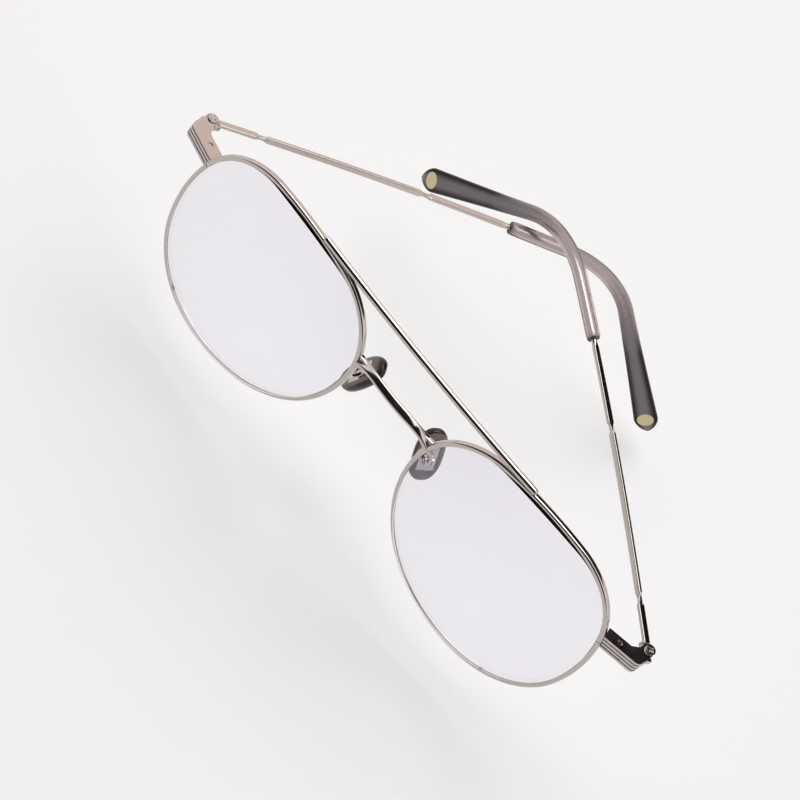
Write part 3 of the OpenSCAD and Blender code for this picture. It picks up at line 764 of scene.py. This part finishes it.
def dress(*rows):
    """Bevelled copies of CAD nodes on both sides. A row is a node, the copy's name, its body and slot, and
    the bevel's width in millimetres."""
    for _, side in SIDES:
        for node, name, body, slot, width in rows:
            bevelled_copy(f"{side}_{node}", f"{side}_{name}", body.format(side=side), slot, width * MM)


class GLASSES_OT_end_pieces(Operator):
    """Dress the ribbed end pieces and their lock blocks"""

    bl_idname = "glasses.end_pieces"
    bl_label = "End Pieces"

    def execute(self, context):
        dress(
            ("end_piece", "ribbed_end", "front_frame", "metal", 0.09),
            ("lock_block", "closing_block", "front_frame", "metal", 0.09),
        )
        return {"FINISHED"}


class GLASSES_OT_screws(Operator):
    """Dress the screws of the hinges, the rims and the pads"""

    bl_idname = "glasses.screws"
    bl_label = "Screws"

    def execute(self, context):
        dress(
            ("lock_screw", "rim_screw", "front_frame", "screw", 0.06),
            ("hinge_screw", "hinge_bolt", "front_frame", "screw", 0.08),
            ("pad_screw", "pad_bolt", "{side}_pad_body", "screw", 0.04),
        )
        return {"FINISHED"}


def tip_end():
    """Distance along a temple from the hinge axis to the end of its tip."""
    temple = bpy.context.scene.glasses_temple
    return (
        temple.ear_bend
        + temple.ear_drop
        - 2 * temple.ear_r * math.tan(temple.ear_angle / 2)
        + temple.ear_r * temple.ear_angle
    )


def temple_path(d):
    """Points of a temple at distances d from its hinge axis: straight, round the ear bend by sine and
    cosine, then straight down, with a sine's bow outward and a squared curl inward."""
    temple = bpy.context.scene.glasses_temple
    bend_from = temple.ear_bend - temple.ear_r * math.tan(temple.ear_angle / 2)
    bend = temple.ear_r * temple.ear_angle
    a = np.clip(d - bend_from, 0, bend) / temple.ear_r
    rest = np.maximum(d - bend_from - bend, 0)
    bow = temple.temple_bow * np.sin(np.minimum(np.pi, np.radians(150) * d / temple.ear_bend))
    curl = temple.tip_in * (np.maximum(d - bend_from, 0) / (tip_end() - bend_from)) ** 2
    y = np.minimum(d, bend_from) + temple.ear_r * np.sin(a) + rest * np.cos(a)
    return points_of(bow - curl, y, temple.bar_lift - temple.ear_r * (1 - np.cos(a)) - rest * np.sin(a))


def temple_direction(d):
    """Direction of a temple at distances d, from points a tenth of a millimetre to either side."""
    way = temple_path(d + 0.1 * MM) - temple_path(d - 0.1 * MM)
    return way / np.linalg.norm(way, axis=-1, keepdims=True)


def along_temple(d, profile):
    """A solid, by a profile carried along a temple."""
    return carried(temple_path(d), temple_direction(d), [0, 0, 1], profile)


def hinged(points, side):
    """Points of a temple's own frame, folded and set on its hinge axis."""
    lens, front, _, _ = sizes()
    cant, fold = (front.left_cant, front.left_fold) if side > 0 else (front.right_cant, front.right_fold)
    turned = turn("Y", cant) @ turn("X", -front.hinge_lean) @ turn("Z", fold)
    hinge = [
        lens.rim_gap / 2 + lens.lens_w * math.cos(lens.wrap) + front.end_reach,
        lens.lens_w / 2 * math.sin(lens.wrap) + front.hinge_back,
        front.hinge_z,
    ]
    return points @ turned.T + hinge


def knuckle():
    """The tongue's flat ring about the screw hole: four circles joined, with small chamfers."""
    temple = bpy.context.scene.glasses_temple
    chamfer, slack, count = 0.1 * MM, 0.05 * MM, 48
    outer, hole, half = temple.tongue_d / 2, temple.screw_d / 2 + slack, temple.tongue_t / 2
    reach = [hole, hole + chamfer, outer - chamfer, outer, outer, outer - chamfer, hole + chamfer, hole]
    level = [chamfer - half, -half, -half, chamfer - half, half - chamfer, half, half, half - chamfer]
    rings = points_of(*(np.outer(wave, reach) for wave in full_turn(count).T), level)
    return rings.reshape(-1, 3), grid_faces(count, len(reach), open_rows=False)[:, ::-1].tolist()


def web(y_from, y_to, half_x, middle_x, half_z, middle_z):
    """A straight rounded block between two distances along the temple."""
    path = points_of(middle_x, np.linspace(y_from, y_to, 3), middle_z)
    along = np.tile([0.0, 1.0, 0.0], (3, 1))
    ring = rounded(np.full(3, half_x), half_z, 0.1 * MM, 16)
    return carried(path, along, [0, 0, 1], ring)


class GLASSES_OT_temples(Operator):
    """Build both temples"""

    bl_idname = "glasses.temples"
    bl_label = "Temples"

    def execute(self, context):
        temple = sizes()[2]
        thin, broad, wire = temple.temple_t / 2, temple.temple_w / 2, temple.core_d / 2
        core_to, mouth = tip_end() - temple.core_back, temple.tip_from + 0.5 * MM
        # Corner radii of the strip, of a crimp's neck and of the wire, which is all but round
        soft, crisp, full = 0.2 * MM, 0.12 * MM, 0.98 * wire

        def crimp(at, before, after):
            """Stations of a crimp, where the strip turns from one half width and height to the other. Its
            facets are deeper and steeper than the solid's, so that they catch the light."""
            half, steep, neck = temple.notch_l / 2, 0.8 * temple.notch_flat, temple.notch_r
            width, height = (neck, 0.7 * neck) if before > after else (0.7 * neck, neck)
            return [
                [at - half, before, after, soft],
                [at - steep, width, height, crisp],
                [at, 0.8 * neck, 0.8 * neck, crisp],
                [at + steep, height, width, crisp],
                [at + half, after, before, soft],
            ]

        # Distance along the bar, half width, half height and corner radius. Inside the tip the wire is
        # pressed flat towards its end
        stations = np.array(
            [
                [temple.bar_from, broad, thin, soft],
                *crimp(temple.notch_1, broad, thin),
                *crimp(temple.notch_2, thin, broad),
                [temple.tip_from - 2 * MM, 1.05 * wire, 0.8 * wire, soft],
                [temple.tip_from - 0.8 * MM, wire, wire, full],
                [mouth, wire, wire, full],
                [core_to - 38 * MM, wire, wire, full],
                [core_to - 8 * MM, 0.45 * MM, 1.15 * MM, 0.4 * MM],
                [core_to - 1 * MM, 0.4 * MM, 1 * MM, 0.38 * MM],
                [core_to, 0.2 * MM, 0.4 * MM, 0.19 * MM],
            ]
        )

        def length_of(low, high):
            """The wire between two distances, as a solid through the stations."""
            d = np.concatenate([np.linspace(low, high, 180), stations[:, 0]])
            d = np.unique(d[(d >= low) & (d <= high)])
            x, z, corner = (np.interp(d, stations[:, 0], column) for column in stations[:, 1:].T)
            return along_temple(d, rounded(x, z, corner))

        bar = length_of(temple.bar_from, mouth)
        core = length_of(mouth, core_to)
        tongue, tail_half, tail_out = temple.tongue_t / 2, 0.6 * MM, 0.2 * MM
        step_to = temple.bar_from + temple.web_l
        stalk = web(0, step_to, broad, 0, tongue, 0)
        step = web(temple.bar_from, step_to, broad, 0, temple.bar_lift / 2, temple.bar_lift / 2)
        tail = web(-temple.tail_l, 0, tail_half, tail_out, tongue, 0)
        points, faces = join(bar, knuckle(), stalk, step, tail)

        for side, name in SIDES:
            arm = f"{name}_arm"
            bar = make(f"{name}_temple_bar", arm, "metal", hinged(points, side), faces, side, 14)
            wire = make(f"{name}_core_wire", arm, "core", hinged(core[0], side), core[1], side)
            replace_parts(bar, f"{name}_temple")
            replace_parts(wire, f"{name}_temple")
        return {"FINISHED"}


def tip_half_sizes(t):
    """Half thickness and half height of a tip, where t runs from its mouth to its end: it tapers in
    thickness, swells to the paddle by a power of the distance, and closes as a quarter circle."""
    slim, paddle = 1.45 * MM, bpy.context.scene.glasses_temple.paddle_w / 2
    swell_from, close_from, roundness = 0.3, 0.95, 1.7
    past = np.maximum(t - close_from, 0) / (1 - close_from)
    close = np.maximum(0.02, 1 - past**roundness) ** (1 / roundness)
    swell = np.clip((t - swell_from) / (close_from - swell_from), 0, None) ** 1.5
    mouth = 0.86 + 0.14 * np.clip(t / 0.012, 0, 1) ** 0.5
    wide = np.minimum(paddle, slim + (paddle - slim) * swell)
    return mouth * (1.2 * MM - 0.15 * MM * t) * (0.4 + 0.6 * close), mouth * wide * close


class GLASSES_OT_temple_tips(Operator):
    """Build both plastic tips"""

    bl_idname = "glasses.temple_tips"
    bl_label = "Temple Tips"

    def execute(self, context):
        temple = sizes()[2]
        # Rings lie closer together at the mouth and at the rounded end
        near_mouth, near_end = np.linspace(0, 0.015, 6), 1 - np.linspace(0, 0.05, 24)
        t = np.unique(np.concatenate([near_mouth, np.linspace(0, 1, 120), near_end]))
        thick, high = tip_half_sizes(t)
        d = temple.tip_from + (tip_end() - temple.tip_from) * t
        profile = oval(thick, high, 2.7)
        points, faces = along_temple(d, profile)
        # Darker towards the paddle, towards both edges and in a fine ring at the mouth. The darkening
        # towards both edges is painted shade
        tint_from, tint_over, ring_over = 0.34, 0.32, 0.006
        along = np.clip((t - tint_from) / tint_over, 0, 1)[:, None]
        # Painted shade: the share rises towards the paddle's upper and lower edges
        across = np.abs(profile[..., 1]) / high[:, None]
        edge = np.clip(1.8 * across - 0.4, 0, 1)
        dark = along * (0.6 + 0.4 * edge) + 0.9 * np.exp(-t / ring_over)[:, None]
        # The last two points close the mouth and the end
        share = np.append(np.clip(dark, 0, 1), [0.7, 1]).astype(np.float32)

        for side, name in SIDES:
            place = hinged(points, side)
            tip = make(f"{name}_smoky_tip", f"{name}_arm", "tip", place, faces, side, share=share)
            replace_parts(tip, f"{name}_temple_tip")
        return {"FINISHED"}


class GLASSES_OT_tip_inlays(Operator):
    """Build the round inlays of the tips"""

    bl_idname = "glasses.tip_inlays"
    bl_label = "Tip Inlays"

    def execute(self, context):
        temple = sizes()[2]
        at = np.array([tip_end() - temple.inlay_back])
        middle, way = temple_path(at)[0], temple_direction(at)[0]
        thick = tip_half_sizes((at - temple.tip_from) / (tip_end() - temple.tip_from))[0][0]
        out = np.cross([0, 0, 1], way)
        out /= np.linalg.norm(out)
        up = np.cross(way, out)
        # Half profile of a coin with a raised rim round a slightly sunk face
        r = temple.inlay_r * np.array([1, 1, 0.97, 0.86, 0.8, 0.4, 0.1])
        rise = MM * np.array([-0.33, 0.01, 0.03, 0.03, 0.015, 0.015, 0.015])
        disc = r[:, None, None] * (full_turn(48) @ [way, up])
        rings = middle + (thick + rise)[:, None, None] * out + disc
        points, faces = solid(rings)

        for side, name in SIDES:
            disc = make(f"{name}_gold_dot", f"{name}_arm", "inlay", hinged(points, side), faces, side)
            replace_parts(disc, f"{name}_tip_inlay")
        return {"FINISHED"}


def padded_place(points):
    """Points of a pad's own frame, where X faces its box, set in the rim frame."""
    pad = bpy.context.scene.glasses_pad
    turned = turn("Y", -pad.pad_lean) @ turn("Z", -pad.pad_splay)
    return points @ turned.T + [pad.pad_x, pad.pad_back, 0]


class GLASSES_OT_nose_pads(Operator):
    """Build both nose pads"""

    bl_idname = "glasses.nose_pads"
    bl_label = "Nose Pads"

    def execute(self, context):
        pad = sizes()[3]
        t = -np.cos(np.linspace(0.02, 0.98, 56) * np.pi)
        # Superellipses seen from the face and from the side
        face, edge = 2.4, 4
        wide = pad.pad_w / 2 * (1 - np.abs(t) ** face) ** (1 / face)
        thick = pad.pad_t / 2 * (1 - np.abs(t) ** edge) ** (1 / edge)
        path = points_of(0, 0, t * pad.pad_l / 2)
        along = np.tile([0.0, 0.0, 1.0], (len(t), 1))
        ring = rounded(thick, wide, 0.9 * np.minimum(thick, wide), 48)
        points, faces = carried(path, along, [0, 1, 0], ring)

        for side, name in SIDES:
            place = padded_place(points)
            soft = make(f"{name}_silicone_pad", f"{name}_pad_body", "pad", place, faces, side)
            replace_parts(soft, f"{name}_nose_pad")
        return {"FINISHED"}


class GLASSES_OT_pad_boxes(Operator):
    """Dress the metal boxes of the pads"""

    bl_idname = "glasses.pad_boxes"
    bl_label = "Pad Boxes"

    def execute(self, context):
        dress(("pad_insert", "pad_box", "{side}_pad_body", "metal", 0.06))
        return {"FINISHED"}


class GLASSES_OT_pad_arms(Operator):
    """Dress the bent arms that carry the pads"""

    bl_idname = "glasses.pad_arms"
    bl_label = "Pad Arms"

    def execute(self, context):
        dress(("pad_arm", "pad_wire", "front_frame", "metal", 0.05))
        return {"FINISHED"}


def sheet(name, material_name, corners, settings):
    """A flat piece of the stage through four corners, with a material of its own."""
    mesh = bpy.data.meshes.new(name)
    mesh.from_pydata(corners, [], [[0, 1, 2, 3]])
    material, tree = new_material(material_name)
    finished(tree, settings)
    mesh.materials.append(material)
    return linked(name, mesh)


def stand(thing, right, up, back, place):
    """Sets a lamp or camera at a place, with its own axes along three vectors."""
    pose = np.eye(4)
    pose[:3] = np.transpose([right, up, back, place])
    thing.matrix_world = Matrix(pose.tolist())


# Rows are the view's right, down and forward in the frame, and PLACE is where the camera stands, in metres
VIEW = np.array([[0.62881, 0.6219, 0.46673], [0.76596, -0.39214, -0.50945], [-0.1338, 0.67784, -0.72293]])
PLACE = np.array([0.11739, -0.60158, 0.64481])


class GLASSES_OT_stage(Operator):
    """Set the floor, the lights and the camera"""

    bl_idname = "glasses.stage"
    bl_label = "Stage"

    def execute(self, context):
        scene = context.scene
        stage = scene.glasses_stage
        # The tip of an open temple reaches 5.5 mm below the frame
        floor_z, far = CAD_BOX[0][2] - 6 * MM, 4.0
        ground = sheet(
            "floor",
            "pale_studio_floor",
            [(-far, -far, floor_z), (far, -far, floor_z), (far, far, floor_z), (-far, far, floor_z)],
            {"Base Color": stage.floor, "Roughness": 0.6, "Specular IOR Level": 0.2},
        )

        # A black card behind the wearer's left side, seen in reflections alone
        flag = sheet(
            "black_card",
            "black_card",
            [(-0.06, 0.47, 0.25), (0.6, 0.47, 0.25), (0.6, 0.47, 0.8), (-0.06, 0.47, 0.8)],
            {"Base Color": linear("#141414"), "Roughness": 1.0},
        )
        flag.visible_camera = flag.visible_diffuse = flag.visible_shadow = flag.visible_transmission = False

        world = bpy.data.worlds.new("studio")
        scene.world = world
        world.use_nodes = True
        tree = world.node_tree
        tree.nodes.clear()
        place = add(tree, "ShaderNodeTexCoord")
        axes = add(tree, "ShaderNodeSeparateXYZ", Vector=place.outputs["Generated"])

        def edge(low, high):
            """A soft edge from 0 to 1 across the room, from its front to its back."""
            settings = {"interpolation_type": "SMOOTHSTEP", "From Min": low, "From Max": high}
            return add(tree, "ShaderNodeMapRange", settings, Value=axes.outputs["Y"]).outputs["Result"]

        # Polished metal shows the room: a white ceiling, a warm wall at the back and a dark room in front
        behind = blend(tree, edge(0.5, 0.62), linear("#FFFBF8"), linear("#F0DFD8"))
        room_colour = blend(tree, edge(-0.3, -0.2), linear("#242325"), behind)
        # Seen past the floor's edge, straight or through a lens, the room is as pale as the floor
        rays = add(tree, "ShaderNodeLightPath")
        seen = add(tree, "ShaderNodeMath", {"operation": "MAXIMUM"})
        for number, kind in enumerate(("Is Camera Ray", "Is Transmission Ray")):
            tree.links.new(rays.outputs[kind], seen.inputs[number])
        room_colour = blend(tree, seen.outputs["Value"], room_colour, linear("#DFDDDC"))
        room = add(tree, "ShaderNodeBackground", {"Strength": 1.2}, Color=room_colour)
        add(tree, "ShaderNodeOutputWorld", Surface=room.outputs["Background"])

        for name, spot, size, power in (
            ("key_light", (-0.25, 0.45, 1.4), 0.9, 7.0),
            ("top_light", (0.1, -0.05, 1.6), 1.0, 5.0),
        ):
            lamp = bpy.data.lights.new(name, "AREA")
            lamp.shape = "SQUARE"
            lamp.size = size
            lamp.energy = power
            # It shines at the origin
            back = np.array(spot) / np.linalg.norm(spot)
            right = np.cross([0, 0, 1], back)
            right /= np.linalg.norm(right)
            stand(linked(name, lamp), right, np.cross(back, right), back, spot)

        camera = linked("camera", bpy.data.cameras.new("camera"))
        camera.data.lens = stage.focal
        camera.data.sensor_width = 36
        camera.data.clip_start = 0.05
        right, down, forward = VIEW
        stand(camera, right, -down, -forward, PLACE)
        scene.camera = camera
        scene.view_settings.view_transform = "Standard"
        return {"FINISHED"}


OPERATORS = (
    GLASSES_OT_rims,
    GLASSES_OT_lenses,
    GLASSES_OT_brow_bar,
    GLASSES_OT_bridge,
    GLASSES_OT_end_pieces,
    GLASSES_OT_screws,
    GLASSES_OT_temples,
    GLASSES_OT_temple_tips,
    GLASSES_OT_tip_inlays,
    GLASSES_OT_pad_arms,
    GLASSES_OT_pad_boxes,
    GLASSES_OT_nose_pads,
    GLASSES_OT_stage,
)
GROUPS = {
    "glasses_lens": LensSizes,
    "glasses_front": FrontSizes,
    "glasses_temple": TempleSizes,
    "glasses_pad": PadSizes,
    "glasses_finish": FinishColours,
    "glasses_stage": StageSettings,
}


class VIEW3D_PT_glasses(Panel):
    """Lists the steps that build the eyeglasses, and their sizes and colours"""

    bl_label = "Eyeglasses"
    bl_space_type = "VIEW_3D"
    bl_region_type = "UI"
    bl_category = "Eyeglasses"

    def draw(self, context):
        for operator in OPERATORS:
            self.layout.operator(operator.bl_idname)
        for name, group in GROUPS.items():
            box = self.layout.box()
            box.label(text=group.bl_rna.name)
            for key in group.__annotations__:
                box.prop(getattr(context.scene, name), key)


CLASSES = (*GROUPS.values(), *OPERATORS, VIEW3D_PT_glasses)


def register():
    for cls in CLASSES:
        bpy.utils.register_class(cls)
    for name, group in GROUPS.items():
        setattr(bpy.types.Scene, name, PointerProperty(type=group))


def unregister():
    for name in GROUPS:
        delattr(bpy.types.Scene, name)
    for cls in reversed(CLASSES):
        bpy.utils.unregister_class(cls)


def main():
    """Builds the whole object and its stage."""
    register()
    for operator in OPERATORS:
        family, name = operator.bl_idname.split(".")
        getattr(getattr(bpy.ops, family), name)()


if __name__ == "__main__":
    main()
